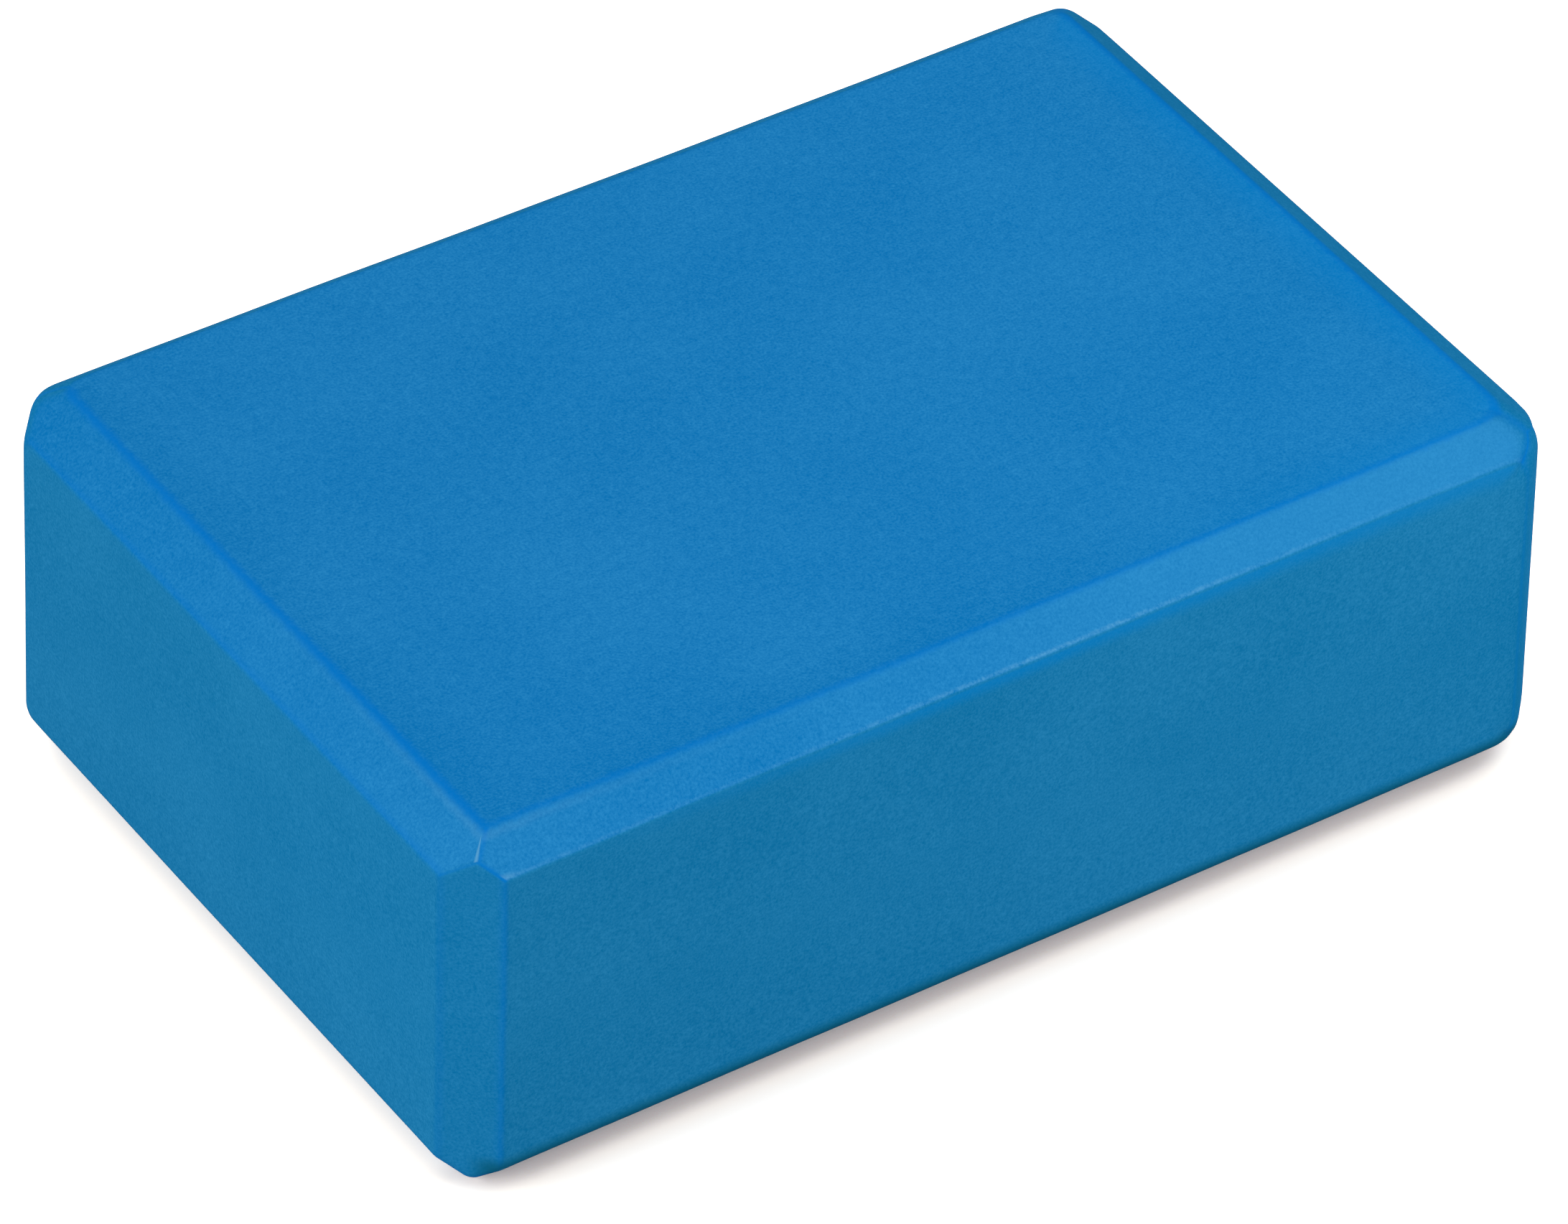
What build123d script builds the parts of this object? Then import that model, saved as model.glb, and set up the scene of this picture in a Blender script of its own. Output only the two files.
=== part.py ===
"""
A solid foam block for stretching and balance exercises, lying on a broad face.

It is one brick of dense foam, sawn from a slab. All twelve edges are skived to
a flat bevel. The bevels are not alike: the long edges have the narrowest ones,
and round a broad face each takes more off that face than off the face below it.
Where three bevels meet at a corner they form a mitred Y. The mitres are buffed
round and every arris is softened, so that no edge digs into a hand.

Sizes are in millimetres. +X runs along the length, +Y across the width and +Z
up, with the origin at the middle of the underside.
"""
import os

from build123d import *

# Overall size
LENGTH = 228.0
WIDTH = 152.0
HEIGHT = 76.0

# Bevel between a broad face and a long side
LONG_BEVEL_ON_BROAD_FACE = 6.4
LONG_BEVEL_ON_SIDE = 5.5

# Bevel between a broad face and an end
END_BEVEL_ON_BROAD_FACE = 8.0
END_BEVEL_ON_END = 7.0

# Upright bevel between a long side and an end
UPRIGHT_BEVEL_ON_SIDE = 7.9
UPRIGHT_BEVEL_ON_END = 7.9

# Softening: the mitres are buffed rounder than the arrises
MITRE_RADIUS = 3.0
ARRIS_RADIUS = 2.0


def cut_corner_oblong(across, up, leg_across, leg_up):
    """An oblong centred on the origin, with the same slanting cut at each corner."""
    right, top = across / 2, up / 2
    corner = [(right, top - leg_up), (right - leg_across, top)]
    points = (
        corner
        + [(-x, y) for x, y in reversed(corner)]
        + [(-x, -y) for x, y in corner]
        + [(x, -y) for x, y in reversed(corner)]
    )
    return make_face(Polyline(*points, close=True))


def bevelled_brick():
    """
    The brick with flat bevels and sharp mitres.

    Each of the three prisms carries the four bevels that run its way, and what
    they have in common is the brick. The bevel planes meet in threes by
    themselves, which is how a knife run along each edge leaves them.
    """
    along_length = cut_corner_oblong(
        WIDTH, HEIGHT, LONG_BEVEL_ON_BROAD_FACE, LONG_BEVEL_ON_SIDE
    )
    along_width = cut_corner_oblong(
        LENGTH, HEIGHT, END_BEVEL_ON_BROAD_FACE, END_BEVEL_ON_END
    )
    upright = cut_corner_oblong(
        LENGTH, WIDTH, UPRIGHT_BEVEL_ON_SIDE, UPRIGHT_BEVEL_ON_END
    )
    return (
        extrude(Plane.YZ * along_length, LENGTH / 2, both=True)
        & extrude(Plane.XZ * along_width, WIDTH / 2, both=True)
        & extrude(Plane.XY * upright, HEIGHT / 2, both=True)
    )


def mitre_edges(brick):
    """The slanting edges at the corners, where one bevel meets another."""
    runs_along = [brick.edges().filter_by(axis) for axis in (Axis.X, Axis.Y, Axis.Z)]
    straight = [edge for edges in runs_along for edge in edges]
    return [edge for edge in brick.edges() if edge not in straight]


def arris_edges(brick):
    """The outlines of the six flat faces, where each meets its bevels."""
    outlines = []
    for axis in (Axis.X, Axis.Y, Axis.Z):
        faces = brick.faces().sort_by(axis)
        outlines += faces[0].edges() + faces[-1].edges()
    return outlines


def foam_block():
    """The finished block, standing on its underside."""
    brick = bevelled_brick()
    brick = fillet(mitre_edges(brick), MITRE_RADIUS)
    brick = fillet(arris_edges(brick), ARRIS_RADIUS)
    return Pos(0, 0, HEIGHT / 2) * brick


def main():
    os.makedirs("parts", exist_ok=True)
    export_step(foam_block(), "parts/foam_block.step")


main()
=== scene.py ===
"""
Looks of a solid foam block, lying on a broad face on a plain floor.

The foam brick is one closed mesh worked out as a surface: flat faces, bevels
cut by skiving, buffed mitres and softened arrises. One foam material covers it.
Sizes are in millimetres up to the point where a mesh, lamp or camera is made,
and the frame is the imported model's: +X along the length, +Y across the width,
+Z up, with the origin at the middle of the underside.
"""
import math
from collections import namedtuple

import bpy
import numpy as np
from mathutils import Matrix, Vector


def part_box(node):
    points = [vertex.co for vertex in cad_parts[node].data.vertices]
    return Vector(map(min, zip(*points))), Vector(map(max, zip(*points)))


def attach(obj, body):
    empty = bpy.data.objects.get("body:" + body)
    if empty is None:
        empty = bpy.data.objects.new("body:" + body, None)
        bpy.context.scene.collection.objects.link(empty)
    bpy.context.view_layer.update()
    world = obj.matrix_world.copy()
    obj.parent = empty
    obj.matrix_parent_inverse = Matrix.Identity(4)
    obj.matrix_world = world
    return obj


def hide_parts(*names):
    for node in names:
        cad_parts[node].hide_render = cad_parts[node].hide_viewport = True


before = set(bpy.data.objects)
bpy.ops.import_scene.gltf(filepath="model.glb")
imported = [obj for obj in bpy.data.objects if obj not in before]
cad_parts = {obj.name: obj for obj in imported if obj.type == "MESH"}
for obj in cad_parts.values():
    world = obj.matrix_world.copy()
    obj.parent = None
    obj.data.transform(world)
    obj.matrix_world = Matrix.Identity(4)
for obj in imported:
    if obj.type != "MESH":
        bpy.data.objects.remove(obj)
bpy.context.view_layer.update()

MM = 0.001
LENGTH, WIDTH, HEIGHT = [round((b - a) / MM, 3) for a, b in zip(*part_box("foam_block"))]

# How far the upright faces lean in at the top, as a sawn slab's do
LEAN = {"left": 1.04, "right": 0.97, "front": 1.05, "back": 0.0}

# Slow unevenness of the faces and of the bevels
FACE_WANDER = 0.06
BEVEL_WANDER = 0.08

# Bevels: the two faces, the leg on the first, the leg on the second, the radius of the
# arrises, how dense pressing has left the foam along them, and 1 where it is left as sawn
# and darkened with painted shade
Bevel = namedtuple("Bevel", "first second leg_first leg_second arris_radius pressed raw")
BEVELS = (
    Bevel("top", "front", 6.30, 5.75, 1.3, 0.65, 0),
    Bevel("top", "back", 6.75, 5.50, 2.4, 0.10, 1),
    Bevel("top", "left", 8.35, 7.39, 1.5, 0.95, 0),
    Bevel("top", "right", 7.90, 6.50, 2.2, 0.80, 1),
    Bevel("bottom", "front", 7.03, 5.59, 4.5, 0.10, 1),
    Bevel("bottom", "back", 7.03, 5.60, 2.6, 0.20, 1),
    Bevel("bottom", "left", 7.03, 6.20, 2.6, 0.10, 1),
    Bevel("bottom", "right", 7.03, 6.70, 2.6, 0.20, 1),
    Bevel("front", "left", 8.06, 8.13, 1.3, 0.20, 0.5),
    Bevel("front", "right", 7.20, 7.20, 7.0, 0.10, 1),
    Bevel("back", "left", 7.00, 7.00, 5.0, 0.10, 1),
    Bevel("back", "right", 7.50, 7.50, 3.0, 0.10, 1),
)

# Those of the bevels that run along the length, along the ends and upright
LONG, END, UPRIGHT = [0, 1, 4, 5], [2, 3, 6, 7], [8, 9, 10, 11]

# The order of the faces' distances
FACES = ("left", "right", "front", "back", "bottom", "top")

# Radius of the mitres at each corner: along x, then y, then z, low side first
MITRES = np.array([[[2.5, 0.8], [4.0, 7.0]], [[8.0, 10.0], [4.0, 4.0]]])

# Reach of the rounding between two planes, as a share of its radius: 1 - cos of their angle
MITRE_SHARE = 0.47
ARRIS_SHARE = 0.29

# Radius past which a corner's mitres make the arrises beside them rounder too
WELL_ROUNDED = 3.0

# The mesh: how far in the inner box lies, the spacing of its lines on the flat, their number
# on each side of an edge, and how often the way to the surface is halved
INSET = 12.0
FLAT_STEP = 3.2
SWEEP_LINES = 32
HALVINGS = 36


# Shape of the brick

def wander(along, across, seed):
    """A slow unevenness of a sawn face: the mean of three long sine waves, -1 to 1."""
    turn = 1.7 * seed
    return (
        np.sin(along / 31.0 + turn)
        + np.sin(across / 23.0 + 2.3 * turn)
        + np.sin((along + across) / 17.0 + 3.1 * turn)
    ) / 3


def face_distances(points):
    """Signed distance of each point outside each of the six faces, negative inside.

    A leaning face's distance is |across| - half size + lean x z / height, with
    the wander inwards. The underside is flat.
    """
    x, y, z = points.T
    rise = z / HEIGHT
    half_x, half_y = LENGTH / 2, WIDTH / 2
    flat = (
        -x - half_x + LEAN["left"] * rise,
        x - half_x + LEAN["right"] * rise,
        -y - half_y + LEAN["front"] * rise,
        y - half_y + LEAN["back"] * rise,
        -z,
        z - HEIGHT,
    )
    seen_from = ((y, z), (y, z), (x, z), (x, z), (x, y), (x, y))
    uneven = [FACE_WANDER * (1 + wander(a, b, seed)) / 2 for seed, (a, b) in enumerate(seen_from)]
    uneven[FACES.index("bottom")] = 0
    return np.stack([distance + dip for distance, dip in zip(flat, uneven)], axis=1)


def extra_depth(bevel, x):
    """How much deeper a bevel is cut towards one end, by a hyperbolic tangent of x.

    Of those round the top, the back one is 0.4 mm deeper on the right and as
    much less deep on the left, and the front one is 0.6 mm deeper on the left.
    """
    if (bevel.first, bevel.second) == ("top", "back"):
        return 0.4 * np.tanh((x + 31) / 35)
    if (bevel.first, bevel.second) == ("top", "front"):
        return 0.3 * (1 - np.tanh((x + 65) / 30))
    return 0


def bevel_distances(points, faces):
    """Signed distance outside each bevel plane.

    With u and v the depths below its two faces, and a and b the legs on them,
    a bevel is the plane v / a + u / b = 1, plus the wander along it and its
    extra depth.
    """
    x, y, z = points.T
    depth = {name: -faces[:, column] for column, name in enumerate(FACES)}
    planes = []
    for seed, bevel in enumerate(BEVELS):
        scale = bevel.leg_first * bevel.leg_second / math.hypot(bevel.leg_first, bevel.leg_second)
        plane = 1 - depth[bevel.second] / bevel.leg_first - depth[bevel.first] / bevel.leg_second
        waver = BEVEL_WANDER * wander(1.3 * (x + y), 1.7 * z + x, seed + 7)
        planes.append(plane * scale + (waver + extra_depth(bevel, x)))
    return np.stack(planes, axis=1)


def soft_max(a, b, reach):
    """The larger of two distances, blended by a parabola where they are within reach."""
    overlap = np.maximum(reach - np.abs(a - b), 0) / reach
    return np.maximum(a, b) + overlap**2 * reach / 4


def mitre_radius(points):
    """The mitres' radius: the corners' radii, shared out by how near each corner is."""
    size = np.array([LENGTH, WIDTH, HEIGHT])
    high = np.clip(points / size + [0.5, 0.5, 0.0], 0, 1)
    radius = 0
    for corner in np.ndindex(2, 2, 2):
        radius = radius + MITRES[corner] * np.prod(np.where(corner, high, 1 - high), axis=1)
    return radius


def shared(distances, value, crispness):
    """A value of the bevels, shared out by how far out each bevel's plane is.

    Each bevel's share is the exponential of crispness x its distance.
    """
    behind = distances - distances.max(axis=1, keepdims=True)
    shares = np.exp(np.reshape(crispness, (-1, 1)) * behind)
    values = np.array([getattr(bevel, value) for bevel in BEVELS])
    return (shares @ values) / shares.sum(axis=1)


def handled(points):
    """How much the foam is handled: 1 at the front left corner, fading over 25 mm."""
    x, y, _ = points.T
    return np.exp(-np.hypot(x + LENGTH / 2, y + WIDTH / 2) / 25)


def level(points):
    """How far a point is outside the finished brick, and what the material needs there.

    The three nearest bevels are blended with the mitre's reach, and then with
    the nearest face with the arris's reach, which grows towards a corner whose
    mitres are well rounded. The first four marks are differences of these
    distances in millimetres: 0 along an arris or a mitre, with a sign that tells
    its two sides apart. The others are shares from 0 to 1.
    """
    faces = face_distances(points)
    bevels = bevel_distances(points, faces)
    third, second, first = np.sort(bevels, axis=1)[:, -3:].T
    rounding = mitre_radius(points)
    reach = MITRE_SHARE * rounding
    bevel = soft_max(soft_max(first, second, reach), third, reach)
    face = faces.max(axis=1)
    near_mitre = np.exp(-(first - second) / 2.0)
    radius = shared(bevels, "arris_radius", 1.0)
    radius = radius + near_mitre * np.maximum(rounding - WELL_ROUNDED, 0)
    outside = soft_max(face, bevel, ARRIS_SHARE * radius)
    long, end, upright = [bevels[:, run].max(axis=1) for run in (LONG, END, UPRIGHT)]
    marks = {
        "broad_arris": faces[:, 4:].max(axis=1) - bevel,
        "side_arris": faces[:, :4].max(axis=1) - bevel,
        "long_lead": long - np.maximum(end, upright),
        "upright_lead": upright - np.maximum(long, end),
        "pressed": shared(bevels, "pressed", 4.0),
        "raw": shared(bevels, "raw", 10 / (2 + rounding)),
        "handled": handled(points),
    }
    return outside, marks


def ruler(size):
    """Places along one axis, as a seat on the inner box and a slope of the ray.

    The ray's slope sweeps -1 to 0 at the low end, stays 0 along the flat and
    sweeps 0 to 1 at the high end. The sweep's lines crowd where arrises fall,
    at slopes of 0.25 to 0.6.
    """
    t = np.linspace(0, 1, 400)
    crowding = 1 + 2.4 * np.exp(-(((t - 0.42) / 0.2) ** 2))
    share = np.concatenate([[0], np.cumsum((crowding[1:] + crowding[:-1]) / 2)])
    sweep = np.interp(np.linspace(0, 1, SWEEP_LINES + 1), share / share[-1], t)
    inner = size / 2 - INSET
    flats = round(2 * inner / FLAT_STEP)
    seats = np.linspace(-inner, inner, flats + 1)
    seat = np.concatenate([np.full(SWEEP_LINES, -inner), seats, np.full(SWEEP_LINES, inner)])
    slope = np.concatenate([-sweep[:0:-1], np.zeros(flats + 1), sweep[1:]])
    return seat, slope


def patch(axis, sign, rulers):
    """Rays for one of the six sides: two rulers crossed, pointing out along the third axis."""
    u_axis, v_axis = [i for i in range(3) if i != axis]
    if (sign > 0) == (axis == 1):
        u_axis, v_axis = v_axis, u_axis
    (u_seat, u_slope), (v_seat, v_slope) = rulers[u_axis], rulers[v_axis]
    shape = (len(u_seat), len(v_seat))
    seat, ray = np.zeros(shape + (3,)), np.zeros(shape + (3,))
    seat[..., axis] = sign * rulers[axis][0].max()
    seat[..., u_axis], seat[..., v_axis] = u_seat[:, None], v_seat[None, :]
    ray[..., axis] = sign
    ray[..., u_axis], ray[..., v_axis] = u_slope[:, None], v_slope[None, :]
    index = np.arange(shape[0] * shape[1]).reshape(shape)
    quads = np.stack([index[:-1, :-1], index[1:, :-1], index[1:, 1:], index[:-1, 1:]], axis=-1)
    return seat.reshape(-1, 3), ray.reshape(-1, 3), quads.reshape(-1, 4)


def brick_surface():
    """Points, quads and marks of the closed brick.

    From a seat on an inner box a ray goes outwards, and the point is where the
    level crosses zero on it, found by halving. The six patches share their rims.
    """
    rulers = [ruler(size) for size in (LENGTH, WIDTH, HEIGHT)]
    seats, rays, quads, count = [], [], [], 0
    for axis in range(3):
        for sign in (-1, 1):
            seat, ray, quad = patch(axis, sign, rulers)
            seats.append(seat)
            rays.append(ray / np.linalg.norm(ray, axis=1, keepdims=True))
            quads.append(quad + count)
            count += len(seat)
    seat = np.concatenate(seats) + [0, 0, HEIGHT / 2]
    ray, quad = np.concatenate(rays), np.concatenate(quads)

    rim = np.round(np.hstack([seat, ray]), 6)
    _, keep, owner = np.unique(rim, axis=0, return_index=True, return_inverse=True)
    seat, ray, quad = seat[keep], ray[keep], owner.reshape(-1)[quad]

    near, far = np.zeros(len(seat)), np.full(len(seat), 2.0 * INSET)
    for _ in range(HALVINGS):
        middle = (near + far) / 2
        outside, _ = level(seat + ray * middle[:, None])
        near, far = np.where(outside < 0, middle, near), np.where(outside < 0, far, middle)
    points = seat + ray * near[:, None]
    return points, quad, level(points)[1]


def mesh_object(name, points, faces, marks, material):
    """A smooth-shaded mesh object at the origin, with points given in millimetres."""
    mesh = bpy.data.meshes.new(name)
    mesh.vertices.add(len(points))
    mesh.vertices.foreach_set("co", (points * MM).astype(np.float32).ravel())
    mesh.loops.add(faces.size)
    mesh.loops.foreach_set("vertex_index", faces.astype(np.int32).ravel())
    mesh.polygons.add(len(faces))
    mesh.polygons.foreach_set("loop_start", np.arange(0, faces.size, 4, dtype=np.int32))
    for mark, values in marks.items():
        layer = mesh.attributes.new(mark, "FLOAT", "POINT")
        layer.data.foreach_set("value", values.astype(np.float32))
    mesh.materials.append(material)
    mesh.update(calc_edges=True)
    mesh.validate()
    mesh.shade_smooth()
    piece = bpy.data.objects.new(name, mesh)
    bpy.context.scene.collection.objects.link(piece)
    return piece


# Shader maths

class Term:
    """A socket's value, on which Python's arithmetic adds Math nodes."""

    def __init__(self, nodes, socket):
        self.nodes, self.socket = nodes, socket

    def math(self, operation, *others):
        """One Math node on this value and the others."""
        return self.nodes.add("Math", {"operation": operation}, dict(enumerate((self, *others))))

    def __add__(self, other):
        return self.math("ADD", other)

    __radd__ = __add__

    def __mul__(self, other):
        return self.math("MULTIPLY", other)

    __rmul__ = __mul__

    def __sub__(self, other):
        return self.math("SUBTRACT", other)

    def __rsub__(self, other):
        return (self * -1) + other

    def __truediv__(self, other):
        return self.math("DIVIDE", other)

    def __abs__(self):
        return self.math("ABSOLUTE")

    def between(self, low, high):
        """0 below low, 1 above high and a smooth rise in between."""
        settings = {"interpolation_type": "SMOOTHSTEP"}
        return self.nodes.add(
            "MapRange", settings, {"Value": self, "From Min": low, "From Max": high}
        )

    def band(self, middle, reach):
        """1 at the middle, falling smoothly to 0 at reach on both sides."""
        return 1 - abs(self - middle).between(0, reach)


class Nodes:
    """The node tree of one material or world."""

    def __init__(self, owner):
        owner.use_nodes = True
        self.tree = owner.node_tree
        self.tree.nodes.clear()

    def add(self, kind, settings=None, inputs=None, output=0):
        """One node: its settings, then the values or links of its sockets."""
        node = self.tree.nodes.new("ShaderNode" + kind)
        for name, value in (settings or {}).items():
            setattr(node, name, value)
        for key, value in (inputs or {}).items():
            if isinstance(value, Term):
                self.tree.links.new(value.socket, node.inputs[key])
            else:
                node.inputs[key].default_value = value
        return Term(self, node.outputs[output]) if node.outputs else None

    def mix(self, factor, first, second):
        """A colour mix from the first to the second, and past it at a factor above 1."""
        settings = {"data_type": "RGBA", "clamp_factor": False}
        return self.add("Mix", settings, {0: factor, 6: first, 7: second}, output=2)

    def noise(self, place, size, roughness):
        """Noise with about one grain in each size and two finer layers: about -1 to 1."""
        inputs = {"Vector": place, "Scale": 1 / size, "Detail": 2.0, "Roughness": roughness}
        return self.add("TexNoise", None, inputs) * 2 - 1


def linear(*levels):
    """A colour in the 0 to 255 levels of a screen, as Blender's linear colour."""
    shares = [level / 255 for level in levels]
    return (*[s / 12.92 if s < 0.04045 else ((s + 0.055) / 1.055) ** 2.4 for s in shares], 1.0)


# The foam

# Colours of the grain, deep and dusty, on the broad faces and then on the sawn sides; the share
# between them also carries painted sheen and painted shade
DEEP, DUSTY = linear(6, 111, 177), linear(37, 132, 193)
SAWN_DEEP, SAWN_DUSTY = linear(8, 111, 163), linear(36, 130, 181)

# Colours where the foam is pressed dense and glazed by a blade, then a painted sheen, pale
# roughened foam with a painted highlight, and painted shade at the foot
DENSE = linear(0, 112, 193)
GLAZED = linear(2, 126, 199)
PAINTED_SHEEN = linear(43, 129, 182)
PALE = linear(92, 160, 203)
PAINTED_FOOT_SHADE = linear(8, 90, 120)

# Sizes of the grain's three noises
CLOUDS, MOTTLE, GRAIN = 30.0, 2.0, 0.5

MARKS = ("broad_arris", "side_arris", "long_lead", "upright_lead", "pressed", "raw", "handled")


class Foam:
    """Places, marks and noises on the foam, and the shares that colour it.

    Places, the height and the first four marks are in millimetres. The rest are
    shares: 0 where a look is absent, 1 where it is full.
    """

    def __init__(self, nodes):
        place = nodes.add("TexCoord", output=3)
        place = nodes.add("VectorMath", {"operation": "SCALE"}, {0: place, "Scale": 1 / MM})
        self.x, self.y, self.z = [
            nodes.add("SeparateXYZ", None, {"Vector": place}, output=i) for i in range(3)
        ]
        marks = [nodes.add("Attribute", {"attribute_name": mark}, output=2) for mark in MARKS]
        self.broad_arris, self.side_arris, self.long_lead, self.upright_lead = marks[:4]
        self.pressed, self.raw, self.handled = marks[4:]

        self.clouds = nodes.noise(place, CLOUDS, 0.5)
        self.mottle = nodes.noise(place, MOTTLE, 0.7)
        self.grain = nodes.noise(place, GRAIN, 0.7)
        self.rag = self.mottle * 0.4

        self.broad = self.broad_arris.between(-0.35, 0.1)
        self.sawn = self.side_arris.between(-0.3, 0.1)
        self.on_bevel = 1 - (self.broad + self.sawn)
        past_arris = self.broad_arris.between(-0.1, 0.6) + self.side_arris.between(0.0, 0.9)
        self.on_raw_shaded_bevel = (1 - past_arris) * self.raw
        self.on_front = 1 - self.y.between(-75.5, -72.0)
        self.to_right = self.x.between(0.0, 110.0)
        self.by_long = (self.long_lead / (1 + self.x.between(60.0, 112.0) * 5)).between(0.0, 0.5)

    def dust_sheen_and_shade(self):
        """How dusty the grain is, up to 1.6 on single specks, with painted sheen and
        painted shade in the same share.

        Buffed bevels are dustier at the handled corner and along the front, and
        less so towards the back, and the long ones carry a painted sheen. Bevels left
        as sawn and the front's right end are darker, as painted shade, and the broad
        faces beside a pressed arris are less dusty.
        """
        x, y, on_bevel = self.x, self.y, self.on_bevel
        dust_sheen_and_shade = self.clouds * 0.3 + self.mottle * (0.48 - self.sawn * 0.18 - on_bevel * 0.2)
        dust_sheen_and_shade = dust_sheen_and_shade + self.grain * 0.95
        buffed = on_bevel * (1 - self.raw)
        dust_sheen_and_shade = dust_sheen_and_shade + buffed * (self.handled * 0.35 - y.between(-40.0, 76.0) * 0.2)
        # Painted sheen: the long bevels grow lighter towards the right
        dust_sheen_and_shade = dust_sheen_and_shade + buffed * self.by_long * x.between(-110.0, 30.0) * 0.3
        # Painted shade: the bevels left as sawn are made darker
        dust_sheen_and_shade = dust_sheen_and_shade - self.on_raw_shaded_bevel * 0.35
        dust_sheen_and_shade = dust_sheen_and_shade + self.sawn * (1 - x.between(-113.9, -112.5)) * 0.1
        # Painted shade: darker at the front's right end, beside the upright bevel
        dust_sheen_and_shade = dust_sheen_and_shade - self.on_front * x.between(98.0, 110.0) * 0.2
        dust_sheen_and_shade = dust_sheen_and_shade - (1 - self.broad_arris.between(0.0, 9.0)) * self.broad * self.pressed * 0.2
        return (dust_sheen_and_shade + 0.5).math("MAXIMUM", 0.0).math("MINIMUM", 1.6)

    def sawn_look(self):
        """The sawn sides, and the bevels left as sawn, whose darker colour there is in part
        painted shade.
        """
        return self.sawn + self.on_bevel * self.raw.between(0.0, 0.4)

    def painted_sheen(self):
        """Painted sheen on the long bevels, more towards the right."""
        buffed = self.on_bevel * (1 - self.raw.between(0.0, 0.4))
        return buffed * self.by_long * self.x.between(-60.0, 110.0) * 0.4

    def glazed(self):
        """Bands that a blade has glazed: below the long bevels and on the top beside them."""
        end = (self.side_arris + self.rag).between(0.4, self.to_right * 1.2 + 2.8)
        below = self.side_arris.between(0.0, 0.5) * self.by_long * self.x.between(-100.0, 0.0)
        below = below * (1 - end) * (1 - self.to_right * 0.2)
        beside = self.broad * (1 - self.broad_arris.between(0.0, 7.0)) * self.to_right * 0.5
        return (below + beside) * self.pressed

    def dense(self):
        """Bands of closed cells along the arrises and mitres."""
        by_upright = self.upright_lead.between(0.0, 0.5)
        dense = (self.broad_arris + self.rag).band(0.1, self.pressed * 0.8 + 0.35) * self.pressed
        side = (self.side_arris + self.rag).band(-0.3, 1.0) * (1 - self.by_long) * (1 - self.raw)
        dense = dense + side * 0.4
        dense = dense + self.side_arris.band(0.0, 0.7) * by_upright * self.on_front * 0.3
        mitres = self.long_lead.band(0.25, self.to_right * 1.3 + 0.7)
        mitres = mitres + self.upright_lead.band(0.0, 0.5) * 0.7
        dense = dense + mitres * self.on_bevel * 0.6 + self.on_raw_shaded_bevel * self.handled * 0.2
        return dense.math("MINIMUM", 1.0) * 0.85

    def painted_foot_shade(self):
        """Painted shade: a dark band along the foot of the front, where the floor's shadow falls
        on it.
        """
        foot = self.z.between(0.5, 4.0) * (1 - self.z.between(5.9, 9.3))
        return foot * (1 - self.y.between(-75.0, -71.0)) * 0.9

    def pale(self):
        """Pale roughened foam with a painted highlight, on the long bevels' outer arris and round
        the handled corner.
        """
        line = (self.side_arris + self.rag * 0.4).band(-0.33, 0.5)
        line = line * self.long_lead.between(0.0, 0.8) * self.z.between(20.0, 50.0)
        line = line * (self.x.band(10.0, 75.0) + self.handled * 0.6 + 0.25)
        line = line * (0.5 + self.mottle * 0.8 + self.grain * 0.8)
        near_upright = self.upright_lead.band(0.0, 5.0)
        chip = self.long_lead.band(-0.3, near_upright * 0.45 + 0.02)
        chip = chip * near_upright.between(0.0, 0.3)
        heel = (self.side_arris + 0.55).band(0.0, 0.7) * self.upright_lead.band(0.0, 3.0)
        heel = heel * self.by_long
        crest = (self.broad_arris + self.rag).band(-1.0, 0.8) * self.handled * (1 - self.raw) * 0.6
        pale = line * 0.45 + (chip * 0.8 + heel * 0.45) * self.handled.between(0.2, 0.6)
        off_upright = 1 - self.upright_lead.between(-0.35, -0.1)
        pale = (pale + crest * 0.4) * self.on_bevel.math("MAXIMUM", 0.5) * off_upright
        return pale.math("MINIMUM", 0.75)

    def height(self):
        """Height of the grain above the face."""
        return self.mottle * 0.008 + self.grain * 0.004


def foam_material():
    """Closed-cell foam: a fine fibrous grain of deep and dusty blue, denser at the arrises."""
    material = bpy.data.materials.new("blue_foam")
    nodes = Nodes(material)
    foam = Foam(nodes)
    # The dust share also carries painted sheen and painted shade
    dust_sheen_and_shade = foam.dust_sheen_and_shade()
    sawn_colour = nodes.mix(dust_sheen_and_shade, SAWN_DEEP, SAWN_DUSTY)
    colour = nodes.mix(foam.sawn_look(), nodes.mix(dust_sheen_and_shade, DEEP, DUSTY), sawn_colour)
    # Painted sheen on the long bevels, lighter towards the right
    colour = nodes.mix(foam.painted_sheen(), colour, PAINTED_SHEEN)
    colour = nodes.mix(foam.glazed(), colour, GLAZED)
    colour = nodes.mix(foam.dense(), colour, DENSE)
    # Painted shade: a dark band along the foot of the front
    colour = nodes.mix(foam.painted_foot_shade(), colour, PAINTED_FOOT_SHADE)
    # Pale roughened foam with a painted highlight along the arrises
    colour = nodes.mix(foam.pale(), colour, PALE)
    bump = nodes.add("Bump", None, {"Strength": 1.0, "Distance": MM, "Height": foam.height()})
    inputs = {"Base Color": colour, "Roughness": 0.9, "Specular IOR Level": 0.02, "Normal": bump}
    shader = nodes.add("BsdfPrincipled", None, inputs)
    nodes.add("OutputMaterial", None, {"Surface": shader})
    return material


# The floor

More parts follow.
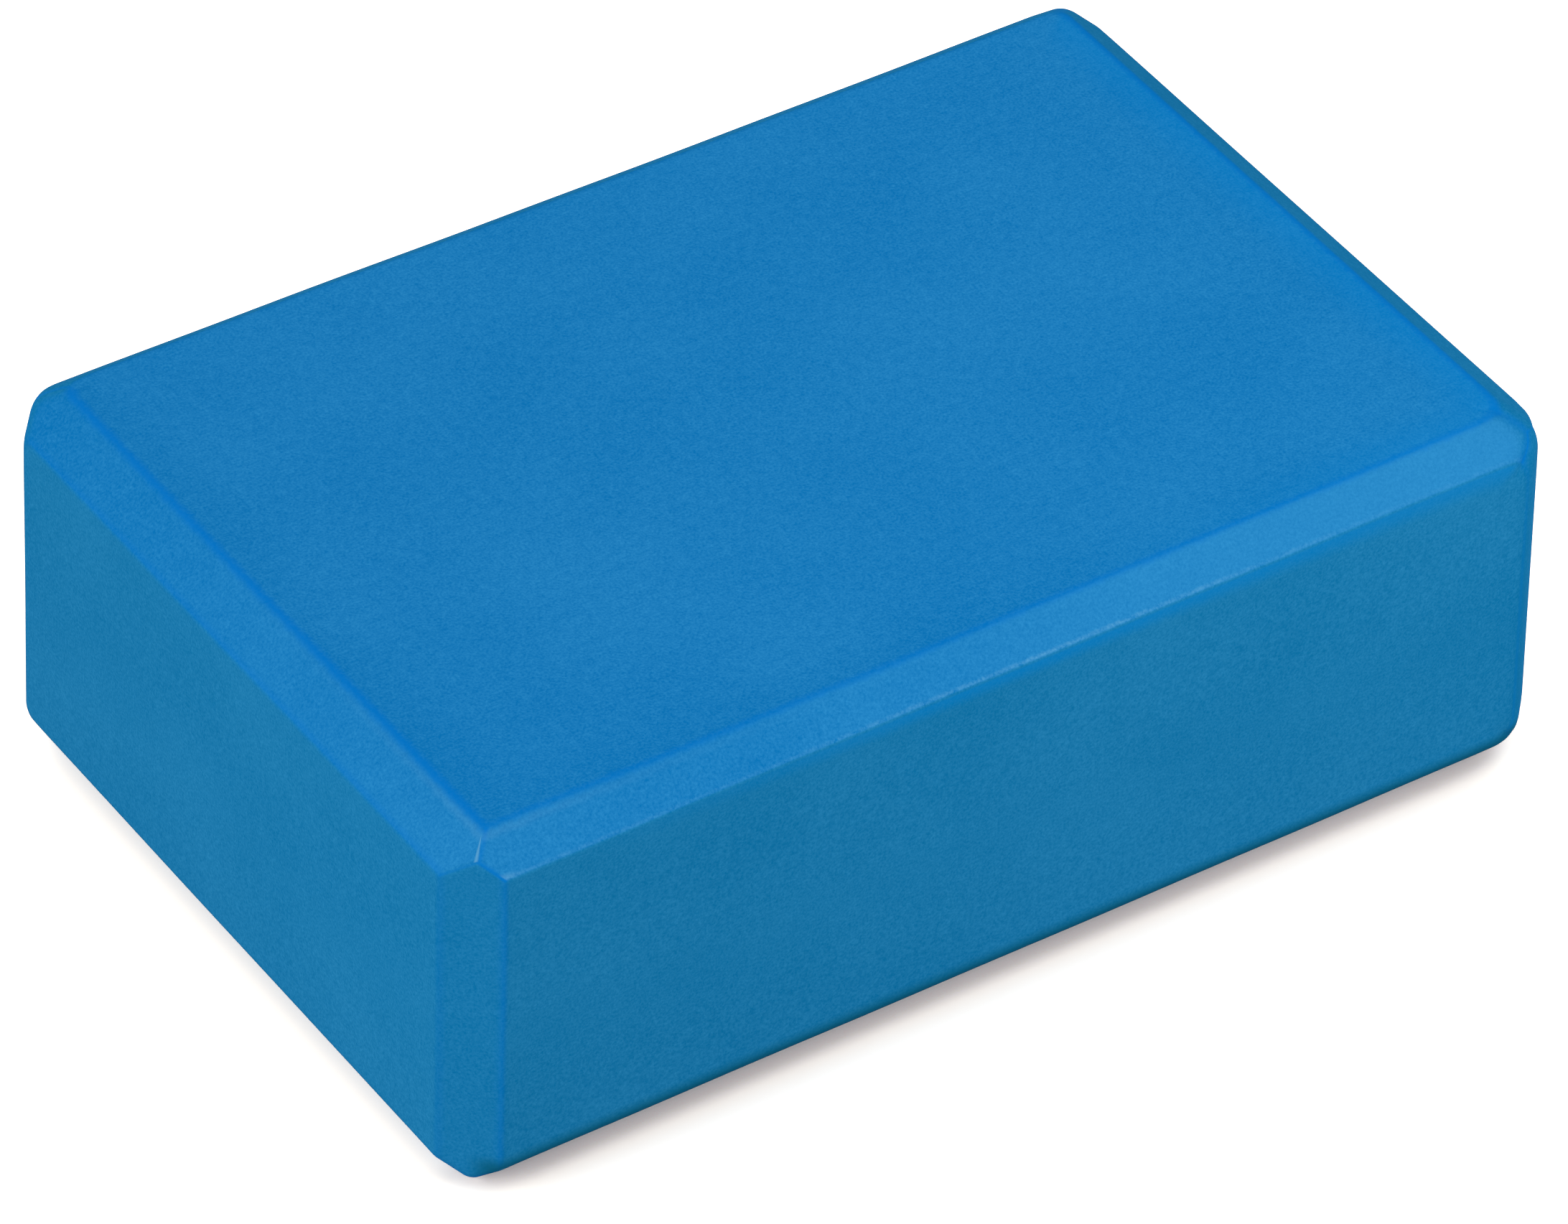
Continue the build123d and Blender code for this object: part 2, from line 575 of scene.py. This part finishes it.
# Its own colour, and what the camera sees: beside the block, in front of it, in the shadow
# there and far off
FLOOR = (0.5, 0.5, 0.5, 1)
SEEN_BESIDE = (2.0, 1.8, 1.58, 1)
SEEN_IN_FRONT = (1.5, 1.43, 1.33, 1)
SEEN_IN_SHADOW = (0.9, 0.71, 0.64, 1)
SEEN_FAR_OFF = (6.0, 6.0, 6.0, 1)

# The radii of its two rings, how far below the block it lies, and how near the block the
# shadow is made deeper
FLOOR_RINGS = (1.0, 6000.0)
FLOOR_DROP = 0.02
SHADOW_REACH = 16.0


def floor_material():
    """A plain pale floor, which the camera sees as white outside the shadow.

    The camera's colour takes out the blue that the foam throws on the floor,
    deepens the shadow where the floor is hidden from most of the light, and
    makes up for the light that falls off far from the block.
    """
    material = bpy.data.materials.new("pale_floor")
    nodes = Nodes(material)
    place = nodes.add("TexCoord", output=3)
    y = nodes.add("SeparateXYZ", None, {"Vector": place}, output=1)
    in_front = 1 - y.between(-74 * MM, -62 * MM)
    away = nodes.add("VectorMath", {"operation": "LENGTH"}, {0: place}, output=1)
    inputs = {"Distance": SHADOW_REACH * MM}
    open_share = nodes.add("AmbientOcclusion", {"samples": 4}, inputs, output=1)
    shown = nodes.mix(open_share.between(0.14, 0.52), SEEN_IN_SHADOW, SEEN_IN_FRONT)
    shown = nodes.mix(in_front, SEEN_BESIDE, shown)
    shown = nodes.mix(away.between(250 * MM, 1200 * MM), shown, SEEN_FAR_OFF)
    colour = nodes.mix(nodes.add("LightPath", output=0), FLOOR, shown)
    shader = nodes.add("BsdfDiffuse", None, {"Color": colour})
    nodes.add("OutputMaterial", None, {"Surface": shader})
    return material


def floor_object():
    """A round floor just under the block, with its points on two rings."""
    count = 96
    turn = np.linspace(0, 2 * np.pi, count + 1)[:-1]
    ring = np.stack([np.cos(turn), np.sin(turn), np.zeros(count)], axis=1)
    points = np.concatenate([ring * radius for radius in FLOOR_RINGS])
    points[:, 2] = -FLOOR_DROP
    i = np.arange(count)
    after = (i + 1) % count
    quads = np.stack([i, count + i, count + after, after], axis=1)
    return mesh_object("floor", points, quads, {}, floor_material())


# Light and camera

def direction(azimuth, elevation):
    """The unit vector towards a place, with azimuth 0 in front, 90 on the right."""
    a, e = math.radians(azimuth), math.radians(elevation)
    return Vector((math.sin(a) * math.cos(e), -math.cos(a) * math.cos(e), math.sin(e)))


# Name, azimuth, elevation, distance and size in millimetres, and light at the block, where 1
# would show a white face as full white
LAMPS = (
    ("right", 70, 45, 750, 450, 0.18),
    ("front_right", 30, 25, 750, 450, 0.42),
    ("left", -90, 25, 1500, 900, 0.36),
    ("front_left", -60, 25, 1500, 900, 0.27),
    ("behind", 180, 25, 1500, 900, 0.34),
)
SKY = 0.4


def add_lamps():
    """Soft square lamps aimed at the block. A lamp's power is light x (pi x distance) squared."""
    middle = Vector((0, 0, HEIGHT / 2))
    for name, azimuth, elevation, distance, size, light in LAMPS:
        lamp = bpy.data.lights.new(name, "AREA")
        lamp.shape = "SQUARE"
        lamp.size = size * MM
        lamp.energy = light * (math.pi * distance * MM) ** 2
        holder = bpy.data.objects.new(name, lamp)
        towards = direction(azimuth, elevation)
        holder.location = (middle + towards * distance) * MM
        holder.rotation_euler = towards.to_track_quat("Z", "Y").to_euler()
        bpy.context.scene.collection.objects.link(holder)


def add_sky():
    """An even sky, which the camera and reflections see as white."""
    world = bpy.data.worlds.new("studio")
    nodes = Nodes(world)
    seen = [nodes.add("LightPath", output=name) for name in ("Is Camera Ray", "Is Glossy Ray")]
    white = seen[0].math("MAXIMUM", seen[1])
    strength = SKY + white * (1 - SKY)
    sky = nodes.add("Background", None, {"Color": (1, 1, 1, 1), "Strength": strength})
    nodes.add("OutputWorld", None, {"Surface": sky})
    bpy.context.scene.world = world


def add_camera():
    """The camera, far off with a long lens, from the front left and above."""
    azimuth, elevation, roll = -34.67, 39.82, math.radians(1.82)
    distance, aside, above = 1899.0, 0.55, -7.56
    back = direction(azimuth, elevation)
    forward = -back
    right = forward.cross(Vector((0, 0, 1))).normalized()
    up = right.cross(forward)
    right, up = (
        right * math.cos(roll) + up * math.sin(roll),
        up * math.cos(roll) - right * math.sin(roll),
    )
    camera = bpy.data.cameras.new("camera")
    camera.sensor_width = 36.0
    camera.lens = 248.49
    camera.clip_start, camera.clip_end = 0.05, 50.0
    holder = bpy.data.objects.new("camera", camera)
    place = (Vector((0, 0, HEIGHT / 2)) + back * distance + right * aside + up * above) * MM
    turn = Matrix((right, up, back)).transposed().to_4x4()
    holder.matrix_world = Matrix.Translation(place) @ turn
    bpy.context.scene.collection.objects.link(holder)
    bpy.context.scene.camera = holder


def main():
    points, quads, marks = brick_surface()
    block = mesh_object("foam_brick", points, quads, marks, foam_material())
    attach(block, "root")
    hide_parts("foam_block")

    floor = floor_object()
    add_lamps()
    add_sky()
    add_camera()
    bpy.context.scene.view_settings.view_transform = "Standard"


main()
